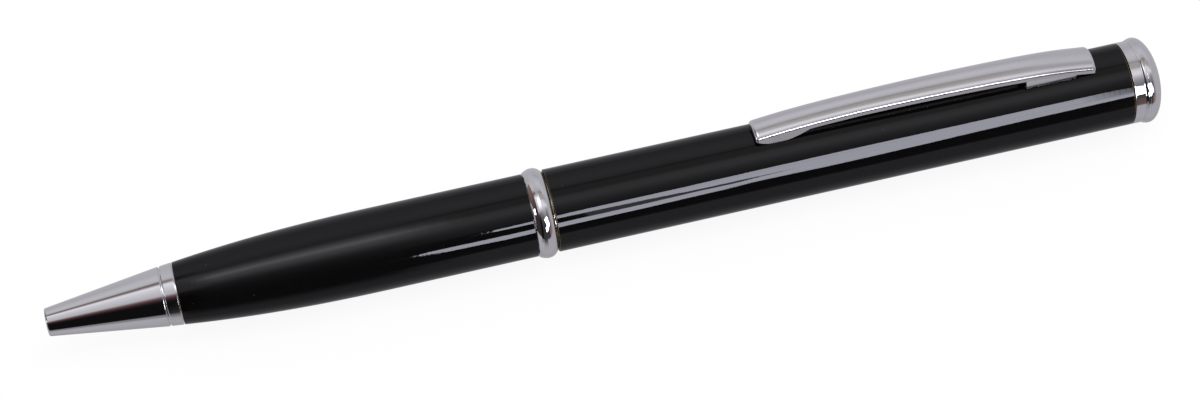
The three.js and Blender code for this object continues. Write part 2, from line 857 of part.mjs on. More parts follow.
const clip = new THREE.Group().add(piece('pocket_clip', 'chrome', pocketClip()));

const cap = new THREE.Group().add(
  piece('upper_barrel', 'lacquer', upperBarrel()),
  piece('cap_liner', 'sheath', capLiner()),
  piece('clip_anchor', 'brass', clipAnchor()),
  piece('end_plug', 'brass', endPlug()),
  piece('finial_band', 'chrome', finialBand()),
  piece('finial_cap', 'chrome', finialCap()),
  clip,
);

const knife = new THREE.Group().add(
  piece('cam_sleeve', 'brass', camSleeve()),
  piece('centre_ring', 'chrome', centreRing()),
  piece('blade_carrier', 'nickel', bladeCarrier()),
  piece('grip_ring', 'rubber', gripRing()),
  piece('blade', 'steel', blade()),
  ...bladePinStations().map((station, k) => (
    piece(`blade_pin_${k + 1}`, 'steel', bladePin(station))
  )),
  cap,
);

// The pen rests on the lowest facet of the centre ring, with the origin under its middle.
const pen = new THREE.Group().add(lowerHalf, nose, refill, knife);
pen.position.set(-penLength / 2, 0, ringRadius * Math.cos(Math.PI / BARREL_FACETS));

const group = new THREE.Group().add(pen);
export default group;
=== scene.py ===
"""Looks for the pen with knife: turned pieces, a sheet-metal clip, procedural finishes and a light tent.

Lengths in the shapes are millimetres. A station is the distance from the front face of the nose cone.
"""

import functools
import json
import math

import bmesh
import bpy
from mathutils import Matrix, Vector

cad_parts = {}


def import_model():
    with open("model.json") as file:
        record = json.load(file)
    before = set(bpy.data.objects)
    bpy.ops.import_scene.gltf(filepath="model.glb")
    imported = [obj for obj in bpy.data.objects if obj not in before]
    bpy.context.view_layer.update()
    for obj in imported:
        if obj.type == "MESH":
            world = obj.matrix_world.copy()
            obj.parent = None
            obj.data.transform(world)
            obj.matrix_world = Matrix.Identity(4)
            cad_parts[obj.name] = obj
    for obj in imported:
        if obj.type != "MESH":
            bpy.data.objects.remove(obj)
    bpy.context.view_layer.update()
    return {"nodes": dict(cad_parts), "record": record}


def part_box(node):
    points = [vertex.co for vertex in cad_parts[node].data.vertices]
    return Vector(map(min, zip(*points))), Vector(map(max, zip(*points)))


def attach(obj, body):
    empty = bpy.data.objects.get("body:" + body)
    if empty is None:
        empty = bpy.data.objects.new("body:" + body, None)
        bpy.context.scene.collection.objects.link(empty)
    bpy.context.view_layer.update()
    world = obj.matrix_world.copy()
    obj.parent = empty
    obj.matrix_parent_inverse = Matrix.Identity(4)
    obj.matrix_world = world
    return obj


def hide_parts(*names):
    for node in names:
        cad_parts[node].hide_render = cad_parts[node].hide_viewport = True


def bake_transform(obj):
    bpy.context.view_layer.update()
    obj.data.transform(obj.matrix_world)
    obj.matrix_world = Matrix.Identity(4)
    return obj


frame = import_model()

MM = 0.001
NOSE_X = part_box("nose_cone")[0][0]
AXIS_Z = (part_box("lower_barrel")[0][2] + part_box("lower_barrel")[1][2]) / 2

# Facets round the turned pieces: what shows, and what is small or inside.
FINE = 192
MEDIUM = 128
COARSE = 64

# Meshing of outlines: points on a rounded corner, the longest run, and how close a run's end is held.
CORNER_STEPS = 5
LONGEST_RUN = 1.2
END_SUPPORT = 0.05

# Edges sharper than this many degrees stay sharp in the shading.
SHARP = 32.0

# Barrels and their ends.
BARREL = 5.16
BORE = 4.61
EDGE = 0.12
LOWER_FRONT = 3.86
TAPER = 25.1
TAPER_POWER = 2.25

# Clip: half widths, sheet, section and the shape of its side. Slopes are in radians.
# SHOULDERS has the arcs beyond the crown, each as its radius and the slope where it ends.
# CLIP_RISE has the crest's height above the barrel, at shares of the clip's length from its tip.
CLIP_TIP_HALF = 1.88
CLIP_ROOT_HALF = 2.22
CLIP_WIDENING_START = 0.3
CLIP_SHEET = 0.5
CROWN_SLOPE = 0.59
SHOULDERS = ((1.57, 0.9), (0.09, 1.2), (0.75, 1.48))
CLIP_FLANGE = 0.41
CLIP_SEAT_GAP = 0.04
BUMP_OFFSET = 3.3
BUMP_FRONT = 2.95
BUMP_REAR = 3.6
BUMP_DEPTH = 0.74
BUMP_POWER = 1.15
TIP_FORWARD = 0.15
TIP_CORNER = 1.0
TIP_CORNER_RISE = 0.35
TAB_DEPTH = 1.5
CLIP_RISE = (
    (0, 1.4), (0.1, 1.86), (0.25, 2.24), (0.45, 2.42), (0.65, 2.34), (0.8, 2.12), (0.9, 1.8), (1, 1.2),
)


@functools.cache
def span(node):
    """Front and rear stations of a CAD node."""
    low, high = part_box(node)
    return (low[0] - NOSE_X) / MM, (high[0] - NOSE_X) / MM


def to_row(point):
    """A point given as station, side and height above the axis, in the row frame."""
    return Vector((NOSE_X + point[0] * MM, point[1] * MM, AXIS_Z + point[2] * MM))


class Nodes:
    """Short calls for building the node tree of a material or a world."""

    def __init__(self, owner):
        owner.use_nodes = True
        self.owner = owner
        self.tree = owner.node_tree
        self.shader = self.tree.nodes.get("Principled BSDF")

    @functools.cached_property
    def place(self):
        """The object's coordinates."""
        return self.add("ShaderNodeTexCoord").outputs["Object"]

    def fill(self, target, value):
        """Links an input, or sets it to a number, a vector or a colour."""
        if isinstance(value, bpy.types.NodeSocket):
            self.tree.links.new(value, target)
        else:
            target.default_value = (*value, 1.0) if target.type == "RGBA" else value

    def add(self, kind, inputs=None, **settings):
        """A new node with its settings, and with inputs filled by name or number."""
        node = self.tree.nodes.new(kind)
        for key, value in settings.items():
            setattr(node, key, value)
        for key, value in (inputs or {}).items():
            self.fill(node.inputs[key], value)
        return node

    def set(self, **inputs):
        """Fills inputs of the material's own shader."""
        for name, value in inputs.items():
            self.fill(self.shader.inputs[name.replace("_", " ")], value)

    def show(self, shader):
        """Makes another shader the material's surface."""
        self.fill(self.tree.nodes["Material Output"].inputs["Surface"], shader)

    def stretched(self, scale):
        """The object's coordinates, scaled by one number or along each axis."""
        scale = scale if isinstance(scale, tuple) else (scale, scale, scale)
        return self.add("ShaderNodeMapping", {"Vector": self.place, "Scale": scale}).outputs["Vector"]

    def noise(self, scale, detail=3.0, rough=0.5):
        """Noise whose grain along each axis is one over the scale, in metres."""
        inputs = {"Vector": self.stretched(scale), "Scale": 1.0, "Detail": detail, "Roughness": rough}
        return self.add("ShaderNodeTexNoise", inputs).outputs["Fac"]

    def specks(self, scale, size):
        """One inside rare small specks, else nought."""
        inputs = {"Vector": self.stretched(scale), "Scale": 1.0}
        distance = self.add("ShaderNodeTexVoronoi", inputs).outputs["Distance"]
        return self.to_range(distance, size, size * 0.6)

    def ramp(self, source, stops):
        """A colour ramp through (position, colour) stops."""
        node = self.add("ShaderNodeValToRGB", {"Fac": source})
        elements = node.color_ramp.elements
        while len(elements) < len(stops):
            elements.new(0.5)
        for element, (position, colour) in zip(elements, stops):
            element.position = position
            element.color = (*colour, 1.0)
        return node.outputs["Color"]

    def to_range(self, source, low, high, new_low=0.0, new_high=1.0):
        """The source's span from low to high, stretched over a new span and held within it."""
        inputs = {"Value": source, "From Min": low, "From Max": high, "To Min": new_low, "To Max": new_high}
        return self.add("ShaderNodeMapRange", inputs).outputs["Result"]

    def maths(self, operation, first, second):
        return self.add("ShaderNodeMath", {0: first, 1: second}, operation=operation).outputs["Value"]

    def mix(self, factor, first, second):
        """A colour between two, by a factor."""
        inputs = {"Factor": factor, "A": first, "B": second}
        return self.add("ShaderNodeMix", inputs, data_type="RGBA").outputs["Result"]

    def bump(self, height, strength, distance, under=None):
        """Relief on the surface, over another bump if one is given."""
        inputs = {"Height": height, "Strength": strength, "Distance": distance}
        if under is not None:
            inputs["Normal"] = under
        normal = self.add("ShaderNodeBump", inputs).outputs["Normal"]
        self.set(Normal=normal)
        return normal


def material_nodes(name):
    return Nodes(bpy.data.materials.new(name))


def lacquer():
    """Black gloss lacquer: faint orange peel, polishing lines and dust specks."""
    m = material_nodes("lacquer")
    cloud = m.noise(900, 4.0)
    lines = m.noise((90, 5200, 5200))
    dust = m.specks(330, 0.022)
    base = m.mix(cloud, (0.0014, 0.0014, 0.0017), (0.0023, 0.0023, 0.0026))
    haze = m.to_range(cloud, 0.3, 0.7, 0.02, 0.045)
    gloss = m.maths("ADD", haze, m.to_range(lines, 0.45, 0.75, 0.0, 0.03))
    peel = m.bump(m.noise(700, 2.0), 0.02, 0.0002)
    m.bump(lines, 0.006, 0.0001, peel)
    facing = m.add("ShaderNodeLayerWeight").outputs["Facing"]
    m.set(
        Base_Color=m.mix(dust, base, (0.05, 0.05, 0.052)),
        Roughness=m.maths("ADD", gloss, m.maths("MULTIPLY", dust, 0.4)),
        Specular_IOR_Level=m.to_range(facing, 0.18, 0.42, 0.5, 0.22),
        IOR=1.4,
    )
    return m.owner


def chrome(name, smooth, hazy):
    """Bright plating: slight clouding, fine wiping lines and a soft ripple from the metal below."""
    m = material_nodes(name)
    cloud = m.noise(260, 4.0)
    lines = m.noise((220, 6500, 6500))
    base = m.mix(cloud, (0.72, 0.715, 0.73), (0.76, 0.755, 0.77))
    haze = m.to_range(cloud, 0.3, 0.7, smooth, hazy)
    gloss = m.maths("ADD", haze, m.to_range(lines, 0.5, 0.8, 0.0, 0.05))
    ripple = m.bump(m.noise(420, 1.0), 0.012, 0.0002)
    m.bump(lines, 0.008, 0.00006, ripple)
    m.set(Base_Color=base, Roughness=gloss, Metallic=1.0)
    return m.owner


def turned_metal(name, dull, bright, rough, line_strength):
    """Machined metal: rings left by the tool, and tarnish in patches."""
    m = material_nodes(name)
    cloud = m.noise(500, 5.0, 0.6)
    haze = m.to_range(cloud, 0.25, 0.75, rough * 1.25, rough * 0.8)
    m.bump(m.noise((9000, 120, 120)), line_strength, 0.00004)
    m.set(Base_Color=m.mix(cloud, dull, bright), Roughness=haze, Metallic=1.0)
    return m.owner


def blade_steel():
    """Satin steel: grinding lines that run from the spine to the edge."""
    m = material_nodes("blade_steel")
    cloud = m.noise(160, 4.0)
    grind = m.noise((7000, 300, 140), 4.0, 0.6)
    tone = m.maths("ADD", m.maths("MULTIPLY", cloud, 0.5), m.maths("MULTIPLY", grind, 0.5))
    base = m.mix(tone, (0.5, 0.5, 0.52), (0.68, 0.68, 0.7))
    haze = m.to_range(grind, 0.3, 0.7, 0.17, 0.3)
    coarse = m.bump(m.noise((1600, 80, 60)), 0.05, 0.00006)
    m.bump(grind, 0.14, 0.00005, coarse)
    m.set(Base_Color=base, Roughness=haze, Metallic=1.0, Anisotropic=0.5)
    return m.owner


def moulded(name, dark, pale, rough, grain):
    """Moulded plastic or rubber: a fine matt grain and slight unevenness of colour."""
    m = material_nodes(name)
    cloud = m.noise(300, 4.0)
    haze = m.to_range(cloud, 0.3, 0.7, rough, rough * 1.3)
    m.bump(m.noise(grain, 2.0), 0.15, 0.00003)
    m.set(Base_Color=m.mix(cloud, dark, pale), Roughness=haze)
    return m.owner


FINISH = {
    "lacquer": lacquer(),
    "chrome": chrome("chrome", 0.025, 0.05),
    "clip_chrome": chrome("clip_chrome", 0.14, 0.17),
    "brass": turned_metal("brass", (0.56, 0.4, 0.17), (0.76, 0.6, 0.31), 0.22, 0.12),
    # Real brass of the barrel tubes, darkened as painted shade of the joints and bores where it shows.
    "shaded_brass": turned_metal("shaded_brass", (0.22, 0.16, 0.07), (0.36, 0.27, 0.12), 0.45, 0.12),
    "steel": turned_metal("steel", (0.5, 0.5, 0.51), (0.64, 0.64, 0.65), 0.2, 0.08),
    "nickel": turned_metal("nickel", (0.5, 0.49, 0.46), (0.66, 0.64, 0.6), 0.2, 0.1),
    "blade_steel": blade_steel(),
    "plastic": moulded("plastic", (0.035, 0.035, 0.038), (0.06, 0.06, 0.064), 0.4, 6000),
    "rubber": moulded("rubber", (0.013, 0.013, 0.013), (0.03, 0.03, 0.03), 0.6, 9000),
}


def rounded(corners, closed):
    """Points of an outline. A corner is (station, radius, rounding, finish), the last two if wanted."""
    count, side_share = len(corners), 0.48
    points = []
    for k, corner in enumerate(corners):
        station, radius, rounding, finish = (*corner, 0, 0)[:4]
        here = Vector((station, radius))
        inner = closed or 0 < k < count - 1
        if rounding <= 0 or not inner:
            points.append((here, finish))
            continue
        back = Vector(corners[(k - 1) % count][:2]) - here
        ahead = Vector(corners[(k + 1) % count][:2]) - here
        half = back.angle(ahead) / 2
        reach = min(rounding / math.tan(half), side_share * back.length, side_share * ahead.length)
        size = reach * math.tan(half)
        inwards = (back.normalized() + ahead.normalized()).normalized()
        centre = here + inwards * size / math.sin(half)
        start = here + back.normalized() * reach - centre
        turn = start.angle_signed(here + ahead.normalized() * reach - centre)
        for step in range(CORNER_STEPS + 1):
            points.append((centre + Matrix.Rotation(-turn * step / CORNER_STEPS, 2) @ start, finish))
    return points


def supported(points, closed):
    """The outline with extra points close to the ends of each long run and at steps along it."""
    result = []
    count = len(points)
    for k in range(count if closed else count - 1):
        (here, finish), (there, _) = points[k], points[(k + 1) % count]
        result.append((here, finish))
        length = (there - here).length
        if length < 4 * END_SUPPORT:
            continue
        inner = max(1, math.ceil(length / LONGEST_RUN))
        shares = [END_SUPPORT / length, *(j / inner for j in range(1, inner)), 1 - END_SUPPORT / length]
        for share in shares:
            result.append((here.lerp(there, share), finish))
    if not closed:
        result.append(points[-1])
    return result


def link_object(name, data):
    holder = bpy.data.objects.new(name, data)
    bpy.context.scene.collection.objects.link(holder)
    return holder


def even_angles(count):
    return [2 * math.pi * k / count for k in range(count)]


def grid_faces(rows, width, wrap=True):
    """Faces between rows of points, each with as many points; wrapped rows are rings."""
    faces = []
    for row in range(rows - 1):
        for k in range(width if wrap else width - 1):
            a, b = row * width + k, row * width + (k + 1) % width
            faces.append([a, b, b + width, a + width])
    return faces


def closed_tube(rows, width):
    """Faces of a tube from rings of points, with both ends closed."""
    last = (rows - 1) * width
    ends = [list(range(width))[::-1], list(range(last, last + width))]
    return grid_faces(rows, width) + ends


def sharpen(mesh, angle=SHARP):
    mesh.set_sharp_from_angle(angle=math.radians(angle))


def finished_mesh(name, vertices, faces, finishes=None, slots=("chrome",), angle=SHARP):
    """A mesh in the row frame from points in stations, smooth but for edges sharper than the angle."""
    mesh = bpy.data.meshes.new(name)
    mesh.from_pydata([to_row(v) for v in vertices], [], faces)
    for slot in slots:
        mesh.materials.append(FINISH[slot])
    if finishes is not None:
        mesh.polygons.foreach_set("material_index", finishes)
    mesh.shade_smooth()
    sharpen(mesh, angle)
    mesh.validate()
    mesh.update()
    return mesh


def turned(name, corners, slots=("chrome",), facets=FINE, closed=True, columns=None):
    """A solid of revolution about the pen's axis, by facets or by the angles of its columns."""
    points = supported(rounded(corners, closed), closed)
    angles = columns or even_angles(facets)
    count, on_axis = len(angles), 1e-6
    vertices, rings = [], []
    for point, _ in points:
        if point.y < on_axis:
            rings.append([len(vertices)] * count)
            vertices.append((point.x, 0, 0))
        else:
            rings.append(list(range(len(vertices), len(vertices) + count)))
            vertices.extend((point.x, point.y * math.cos(a), point.y * math.sin(a)) for a in angles)
    faces, finishes = [], []
    rows = len(points) if closed else len(points) - 1
    for row in range(rows):
        here, there = rings[row], rings[(row + 1) % len(points)]
        for k in range(count):
            after = (k + 1) % count
            face = [here[k], here[after], there[after], there[k]]
            face = [v for i, v in enumerate(face) if v != face[i - 1]]
            if len(face) > 2:
                faces.append(face)
                finishes.append(points[row][1])
    return finished_mesh(name, vertices, faces, finishes, slots)


def piece_of(mesh, body, node):
    """Makes the mesh a piece that rides on a body and stands for a CAD node."""
    piece = link_object(mesh.name, mesh)
    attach(piece, body)
    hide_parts(node)


def turned_piece(name, node, body, slot, corners, facets=FINE, closed=True):
    """A solid of revolution in one finish, as a piece."""
    piece_of(turned(name, corners, (slot,), facets, closed), body, node)


def helix_ridge(front, rear, root, crest, pitch):
    """Vertices and faces of a screw thread's ridge, a wedge that winds round the axis."""
    steps, sunk, fade_rate, half = 28, 0.1, 2.5, 0.36 * pitch
    turns = (rear - front) / pitch - 1
    count = int(turns * steps)
    foot = root - sunk
    vertices = []
    for k in range(count + 1):
        angle = 2 * math.pi * k / steps
        middle = front + pitch * (0.5 + k / steps)
        fade = min(1.0, fade_rate * k / steps, fade_rate * (count - k) / steps)
        top = root + (crest - root) * fade
        for station, radius in ((middle - half, foot), (middle, top), (middle + half, foot)):
            vertices.append((station, radius * math.cos(angle), radius * math.sin(angle)))
    return vertices, closed_tube(count + 1, 3)


def joined(name, first, second):
    """One mesh from two, keeping the first one's finishes."""
    work = bmesh.new()
    work.from_mesh(first)
    work.from_mesh(second)
    bmesh.ops.recalc_face_normals(work, faces=work.faces)
    mesh = bpy.data.meshes.new(name)
    work.to_mesh(mesh)
    work.free()
    for material in first.materials:
        mesh.materials.append(material)
    sharpen(mesh)
    return mesh


def nose_cone():
    front, rear = span("nose_cone")
    cone, collar, seat = 14.35, 14.55, 6.0
    tip, end, mouth, chamber, thread = 1.71, 3.69, 1.25, 1.73, 2.55
    core, groove, face = thread - 0.24, end - 0.13, collar - 0.05
    body = turned("nose_core", [
        (front, mouth, 0.06),
        (front, tip, 0.32),
        (cone - 0.02, end, 0.1),
        (cone + 0.03, groove),
        (face, groove),
        (face, core),
        (rear, core, 0.15),
        (rear, chamber, 0.08),
        (seat, chamber),
        (seat, mouth, 0.1),
    ])
    vertices, faces = helix_ridge(collar + 0.6, rear - 0.2, core, thread, pitch=0.5)
    ridge = finished_mesh("nose_thread", vertices, faces)
    piece_of(joined("nose_shell", body, ridge), "nose", "nose_cone")


def front_bush():
    front, rear = span("front_bush")
    step, thread, neck = 16.0, 2.6, LOWER_FRONT - 0.6
    turned_piece("front_collar", "front_bush", "lower_half", "chrome", [
        (front, thread, 0.08),
        (front, 3.7, 0.1),
        (step, 3.85, 0.03),
        (step, neck),
        (rear, neck, 0.1),
        (rear, thread, 0.08),
    ])


def lower_radius(station, front):
    left = max(0.0, 1 - (station - front) / TAPER)
    return BARREL - (BARREL - LOWER_FRONT) * left ** TAPER_POWER


def lower_barrel():
    """Lacquered tube with its brass showing at the ends and inside, darkened there as painted shade."""
    front, rear = span("lower_barrel")
    wall, steps = BARREL - BORE, 40
    taper = [front + TAPER * (k + 1) / steps for k in range(steps)]
    outside = [(s, lower_radius(s, front), 0, 1) for s in taper]
    inside = [(s, lower_radius(s, front) - wall) for s in reversed(taper[::4])]
    # The ends and the bore take the darker brass, whose colour is painted shade in the joints.
    mesh = turned("lower_tube", [
        (front, LOWER_FRONT - wall),
        (front, LOWER_FRONT - EDGE / 2),
        (front + EDGE / 2, LOWER_FRONT, 0.03, 1),
        *outside,
        (rear, BARREL, 0.08, 1),
        (rear, BORE + 0.2),
        (rear, BORE),
        *inside,
    ], ("shaded_brass", "lacquer"))
    piece_of(mesh, "lower_half", "lower_barrel")


def centre_ring():
    """Ring with a rounded section, gentler towards the nose than towards the cap."""
    front, rear = span("centre_ring")
    middle, half = (front + rear) / 2, (rear - front) / 2
    crest, gentle, steep, bore, steps = 5.615, 1.95, 1.35, 4.25, 14
    section = []
    for k in range(2 * steps + 1):
        across = half * (k / steps - 1)
        bend = gentle if across < 0 else steep
        section.append((middle + across, crest - bend + math.sqrt(bend ** 2 - across ** 2)))
    section = [(front, bore, 0.05), *section, (rear, bore, 0.05)]
    turned_piece("ring", "centre_ring", "knife", "chrome", section)


def slot_angles(inner, outer):
    """Angles of the clip's two slots round the barrel, from +Y, one above each side of the clip."""
    lean_in, lean_out = math.asin(inner / BARREL), math.asin(outer / BARREL)
    quarter = math.pi / 2
    return (quarter - lean_out, quarter - lean_in), (quarter + lean_in, quarter + lean_out)


def upper_barrel():
    """Cap tube with two slots for the clip's tabs."""
    front, rear = span("upper_barrel")
    side_gap, end_gap, too_close = 0.12, 0.25, 0.01
    tab_front, tab_rear = clip_tabs()
    outer = clip_half((tab_front + tab_rear) / 2) + side_gap
    gaps = slot_angles(outer - CLIP_SHEET - 2 * side_gap, outer)
    limits = [angle for gap in gaps for angle in gap]
    columns = sorted(limits + [a for a in even_angles(FINE) if min(abs(a - b) for b in limits) > too_close])
    slot_front, slot_rear = tab_front - end_gap, tab_rear + end_gap
    # The front face and the bore take the darker brass, whose colour is painted shade in the joint.
    mesh = turned("cap_tube", [
        (front, BORE, 0.05),
        (front, BARREL - EDGE / 2),
        (front + EDGE / 3, BARREL, 0.03, 1),
        (slot_front, BARREL, 0, 1),
        (slot_rear, BARREL, 0, 1),
        (rear - EDGE / 2, BARREL, 0.05),
        (rear, BARREL - EDGE),
        (rear, BORE),
        (slot_rear, BORE),
        (slot_front, BORE),
    ], ("shaded_brass", "lacquer"), columns=columns)
    cut_slots(mesh, gaps, slot_front, slot_rear)
    piece_of(mesh, "cap", "upper_barrel")


def cut_slots(mesh, gaps, front, rear):
    """Opens the wall of a tube between two stations and between pairs of angles, and closes the cuts."""
    margin = 0.02
    work = bmesh.new()
    work.from_mesh(mesh)

    def angle_at(point):
        return math.atan2(point.z - AXIS_Z, point.y)

    def in_slot(face):
        centre = face.calc_center_median()
        station = (centre.x - NOSE_X) / MM
        lengthwise = abs(face.normal.x) < 0.5
        in_gap = any(low < angle_at(centre) < high for low, high in gaps)
        return lengthwise and front < station < rear and in_gap

    doomed = [face for face in work.faces if in_slot(face)]
    bmesh.ops.delete(work, geom=doomed, context="FACES")
    cut = [(e, angle_at((e.verts[0].co + e.verts[1].co) / 2)) for e in work.edges if e.is_boundary]
    for low, high in gaps:
        rims = [edge for edge, angle in cut if low - margin < angle < high + margin]
        bmesh.ops.bridge_loops(work, edges=rims)
    bmesh.ops.recalc_face_normals(work, faces=work.faces)
    work.to_mesh(mesh)
    work.free()
    sharpen(mesh)


def finial_band():
    front, rear = span("finial_band")
    bore = 1.55
    turned_piece("end_band", "finial_band", "cap", "chrome", [
        (front, bore),
        (front, BARREL, 0.06),
        (rear, BARREL),
        (rear, bore),
    ])


def finial_cap():
    """Flared rim and low dome on a stud. The foot gives the flare's growth along its rise, in shares."""
    stud_front, rear = span("finial_cap")
    gap, stud, rim, rise, flare_steps, dome_steps = 0.015, 1.5, 5.41, 0.9, 48, 36
    front = span("finial_band")[1] + gap
    flare, widest = rim - BARREL, front + rise
    foot = (
        (0, 0), (0.1, 0.03), (0.2, 0.24), (0.35, 0.56), (0.5, 0.71), (0.62, 0.755), (0.66, 0.78),
        (0.72, 0.94), (0.78, 0.985), (0.88, 1), (1, 1),
    )
    shoulder = []
    for k in range(flare_steps):
        share = k / flare_steps
        shoulder.append((front + rise * share, BARREL + flare * smooth_table(foot, share)))
    dome = []
    for k in range(dome_steps + 1):
        angle = math.pi / 2 * k / dome_steps
        dome.append((widest + (rear - widest) * math.sin(angle), rim * math.cos(angle)))
    turned_piece("finial_dome", "finial_cap", "cap", "chrome", [
        (stud_front, 0),
        (stud_front, stud, 0.12),
        (front, stud),
        *shoulder,
        *dome,
    ], closed=False)


def cap_liner():
    front, rear = span("cap_liner")
    bore, outer = 4.26, 4.56
    turned_piece("cap_sheath", "cap_liner", "cap", "plastic", [
        (front, bore, 0.1),
        (front, outer, 0.05),
        (rear, outer),
        (rear, bore),
    ], MEDIUM)


def clip_ends():
    front, rear = span("pocket_clip")
    return front - TIP_FORWARD, rear


def clip_tabs():
    """Front and rear of the clip's tabs."""
    root, far, near = clip_ends()[1], 9.0, 2.6
    return root - far, root - near


def clip_share(station):
    """Share of the clip's length from its tip."""
    front, rear = clip_ends()
    return (station - front) / (rear - front)


def clip_half(station):
    """Half the clip's width, at the foot of its shoulders."""
    widening = max(0.0, clip_share(station) - CLIP_WIDENING_START) / (1 - CLIP_WIDENING_START)
    return CLIP_TIP_HALF + (CLIP_ROOT_HALF - CLIP_TIP_HALF) * widening


def smooth_table(table, x):
    """A smooth curve through a short table of (x, y), by cubic pieces with matching slopes."""
    xs, ys = [p[0] for p in table], [p[1] for p in table]
    count = len(xs)
    slopes = []
    for k in range(count):
        a, b = max(0, k - 1), min(count - 1, k + 1)
        slopes.append((ys[b] - ys[a]) / (xs[b] - xs[a]))
    x = min(max(x, xs[0]), xs[-1])
    k = max(j for j in range(count - 1) if xs[j] <= x)
    width = xs[k + 1] - xs[k]
    t = (x - xs[k]) / width
    return (
        (1 + 2 * t) * (1 - t) ** 2 * ys[k] + t * (1 - t) ** 2 * width * slopes[k]
        + t * t * (3 - 2 * t) * ys[k + 1] - t * t * (1 - t) * width * slopes[k + 1]
    )


def clip_top(station):
    """Height of the clip's crest above the axis."""
    return BARREL + smooth_table(CLIP_RISE, clip_share(station))


def surface(side, clear=0.0):
    """Height of the barrel's surface above the axis, at a distance to the side, with a clearance."""
    return math.sqrt((BARREL + clear) ** 2 - side ** 2)


def clip_arch(half, inset):
    """Points (side, drop) from the crest down one side of the arch: its crown and its shoulders."""
    tightest, steps = 0.03, 10
    spread, before = 0.0, CROWN_SLOPE
    for radius, slope in SHOULDERS:
        spread += radius * (math.sin(slope) - math.sin(before))
        before = slope
    crown = (half - spread) / math.sin(CROWN_SLOPE)
    side, drop, before = 0.0, inset, 0.0
    points = [(0.0, inset)]
    for radius, slope in ((crown, CROWN_SLOPE), *SHOULDERS):
        bend = max(tightest, radius - inset)
        for k in range(1, steps + 1):
            here = before + (slope - before) * k / steps
            across = side + bend * (math.sin(here) - math.sin(before))
            points.append((across, drop + bend * (math.cos(before) - math.cos(here))))
        side, drop = points[-1]
        before = slope
    return points


def clip_bottom(station):
    """Height of the lower edge of the clip's sides, before the barrel limits it."""
    plain = clip_top(station) - clip_arch(clip_half(station), 0)[-1][1] - CLIP_FLANGE
    from_tip = station - clip_ends()[0]
    past = from_tip - BUMP_OFFSET
    away = past / (BUMP_FRONT if past < 0 else BUMP_REAR)
    corner = 1 - min(1.0, max(0.0, from_tip) / TIP_CORNER)
    raised = TIP_CORNER_RISE * (1 - math.sqrt(1 - corner ** 2))
    return plain - BUMP_DEPTH * max(0.0, 1 - away ** 2) ** BUMP_POWER + raised


def clip_section(station, narrow, lower, inset):
    """Half of the clip's section from its crest to the foot of its side, as (side, height)."""
    crest = clip_top(station) - lower
    points = [(y, crest - drop) for y, drop in clip_arch(clip_half(station) - narrow, inset)]
    side, top = points[-1]
    bottom = clip_bottom(station)
    foot = side + (top - bottom) / math.tan(SHOULDERS[-1][1])
    bottom = max(bottom, surface(foot, CLIP_SEAT_GAP))
    for share in (0.06, 0.3, 0.6, 0.9, 1.0):
        points.append((side + (foot - side) * share, top + (bottom - top) * share))
    return points


def clip_shell(inset):
    """One skin of the clip: its vertices, faces, rows and their width. Rows are closer near the ends."""
    front, rear = clip_ends()
    plan, drop, rounding, end_steps, steps = 0.2, 0.3, 0.45, 9, 120
    length = rear - front - 2 * inset
    quarter = [math.pi / 2 * k / end_steps for k in range(end_steps + 1)]
    near_end = [rounding * (1 - math.cos(angle)) for angle in quarter]
    depths = near_end + [0.5, 0.66, 0.84] + [length * k / steps for k in range(4, steps - 3)]
    depths += [length - 0.8, length - 0.5] + [length - depth for depth in reversed(near_end)]
    rows = []
    for depth in depths:
        station = front + inset + depth
        from_end = min(depth, length - depth)
        into_end = 1 - min(1.0, from_end / rounding)
        share = 1 - math.sqrt(max(0.0, 1 - into_end ** 2))
        half = clip_section(station, plan * share, drop * share, inset)
        left = [(station, -y, z) for y, z in reversed(half[1:])]
        rows.append(left + [(station, y, z) for y, z in half])
    vertices = [v for row in rows for v in row]
    width = len(rows[0])
    faces = [[a, d, c, b] for a, b, c, d in grid_faces(len(rows), width, wrap=False)]
    return vertices, faces, len(rows), width


def pocket_clip():
    """Sheet-metal clip: a crowned channel, open below, with a bump near its tip and two tabs."""
    outer, faces, rows, width = clip_shell(0.0)
    inner, inner_faces, _, _ = clip_shell(CLIP_SHEET)
    offset = len(outer)
    faces += [[i + offset for i in reversed(face)] for face in inner_faces]
    for r in range(rows - 1):
        for k in (0, width - 1):
            a = r * width + k
            b = a + width
            quad = [a, b, b + offset, a + offset]
            faces.append(quad if k else quad[::-1])
    for r in (0, rows - 1):
        ring = [r * width + k for k in range(width)]
        faces.append(ring if r else ring[::-1])
        back = [i + offset for i in ring]
        faces.append(back[::-1] if r else back)
        foot = [ring[0], ring[-1], back[-1], back[0]]
        faces.append(foot if r == 0 else foot[::-1])
    mesh = finished_mesh("clip_body", outer + inner, faces, slots=("clip_chrome",))
    tabs = clip_tab_mesh()
    piece_of(joined("clip_spring", mesh, tabs), "clip", "pocket_clip")


def clip_tab_mesh():
    """The two tabs that pass through the barrel's wall."""
    front, rear = clip_tabs()
    middle = (front + rear) / 2
    outer = clip_half(middle)
    low = surface(CLIP_ROOT_HALF) - TAB_DEPTH
    high = clip_top(middle) - clip_arch(outer, 0)[-1][1] - CLIP_FLANGE / 2
    vertices, faces = [], []
    for side in (-1, 1):
        across = (side * outer, side * (outer - CLIP_SHEET))
        outline = [(front, low), (rear, low), (rear, high), (front, high)]
        start = len(vertices)
        for y in across:
            vertices.extend((s, y, z) for s, z in outline)
        faces.append([start, start + 1, start + 2, start + 3])
        faces.append([start + 7, start + 6, start + 5, start + 4])
        for k in range(4):
            a, b = start + k, start + (k + 1) % 4
            faces.append([a, a + 4, b + 4, b])
    return finished_mesh("clip_tabs", vertices, faces)


